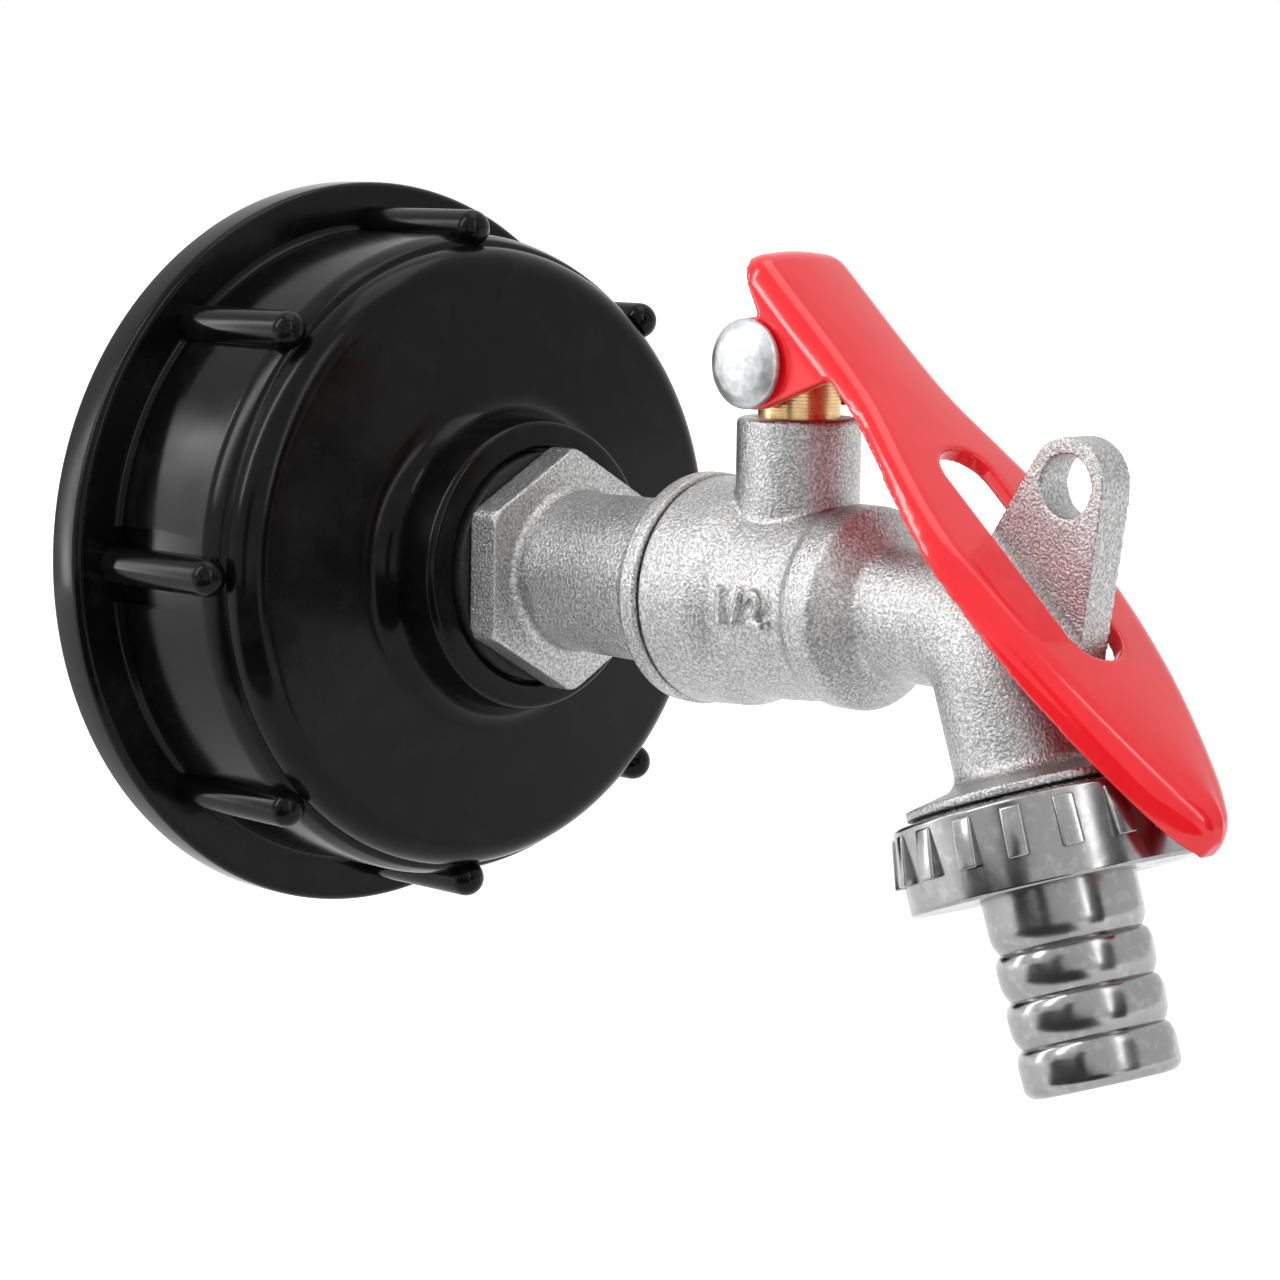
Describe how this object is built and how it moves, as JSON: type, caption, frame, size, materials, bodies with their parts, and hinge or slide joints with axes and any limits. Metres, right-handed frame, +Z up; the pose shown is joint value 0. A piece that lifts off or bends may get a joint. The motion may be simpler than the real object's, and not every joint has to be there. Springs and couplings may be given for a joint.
{
  "type": "ibc tank valve",
  "caption": "Screw cap for a tank outlet with a ball valve, a folding lever handle with a padlock lug, and a down-turned spout with a union nut and barbed hose tail.",
  "frame": {"origin": "centre of the rear face of the cap's rim", "axes": "+X along the cap's axis from the tank towards the outlet, +Z up along the stem, Y across"},
  "size_m": [0.1241, 0.08, 0.0836],
  "materials": {
    "black_plastic": "glossy black moulded plastic",
    "rubber": "matt black rubber",
    "nickel_plate": "nickel-plated brass casting with a fine bright grain",
    "chrome": "chrome-plated brass",
    "brass": "machined brass",
    "red_coating": "glossy red plastic coating on pressed steel",
    "aluminium": "plain aluminium rivet",
    "seat": "white fluoropolymer"
  },
  "bodies": {
    "valve": {"tank_cap": "black_plastic", "cap_gasket": "rubber", "adapter_washer": "rubber", "inlet_connector": "nickel_plate", "connector_o_ring": "rubber", "inlet_seat_ring": "seat", "outlet_seat_ring": "seat", "valve_body": "nickel_plate", "thrust_washer": "seat"},
    "stem_set": {"stem": "brass", "stem_o_ring_lower": "rubber", "stem_o_ring_upper": "rubber", "ball": "chrome"},
    "handle_set": {"handle": "red_coating", "handle_rivet": "aluminium"},
    "tail": {"hose_tail": "chrome", "hose_washer": "rubber"},
    "nut": {"hose_nut": "chrome"}
  },
  "joints": [
    {"name": "stem_turn", "type": "hinge", "parent": "valve", "child": "stem_set", "pos_m": [0.0703, 0, 0], "axis": [0, 0, 1], "range_deg": [-1.4, 1.4]},
    {"name": "handle_lift", "type": "hinge", "parent": "stem_set", "child": "handle_set", "pos_m": [0.0703, 0, 0.0234], "axis": [0, -1, 0], "range_deg": [0, 80]},
    {"name": "tail_slide", "type": "slide", "parent": "valve", "child": "tail", "axis": [0.3322, 0, -0.9432], "range_m": [0, 0.00363]},
    {"name": "hose_nut_turn", "type": "hinge", "parent": "tail", "child": "nut", "pos_m": [0.0966, 0, 0], "axis": [0.3322, 0, -0.9432], "range_deg": [0, 720]}
  ],
  "couplings": [
    {"joint": "hose_nut_turn", "follows": "tail_slide", "rad_per_m": 3463.7}
  ]
}
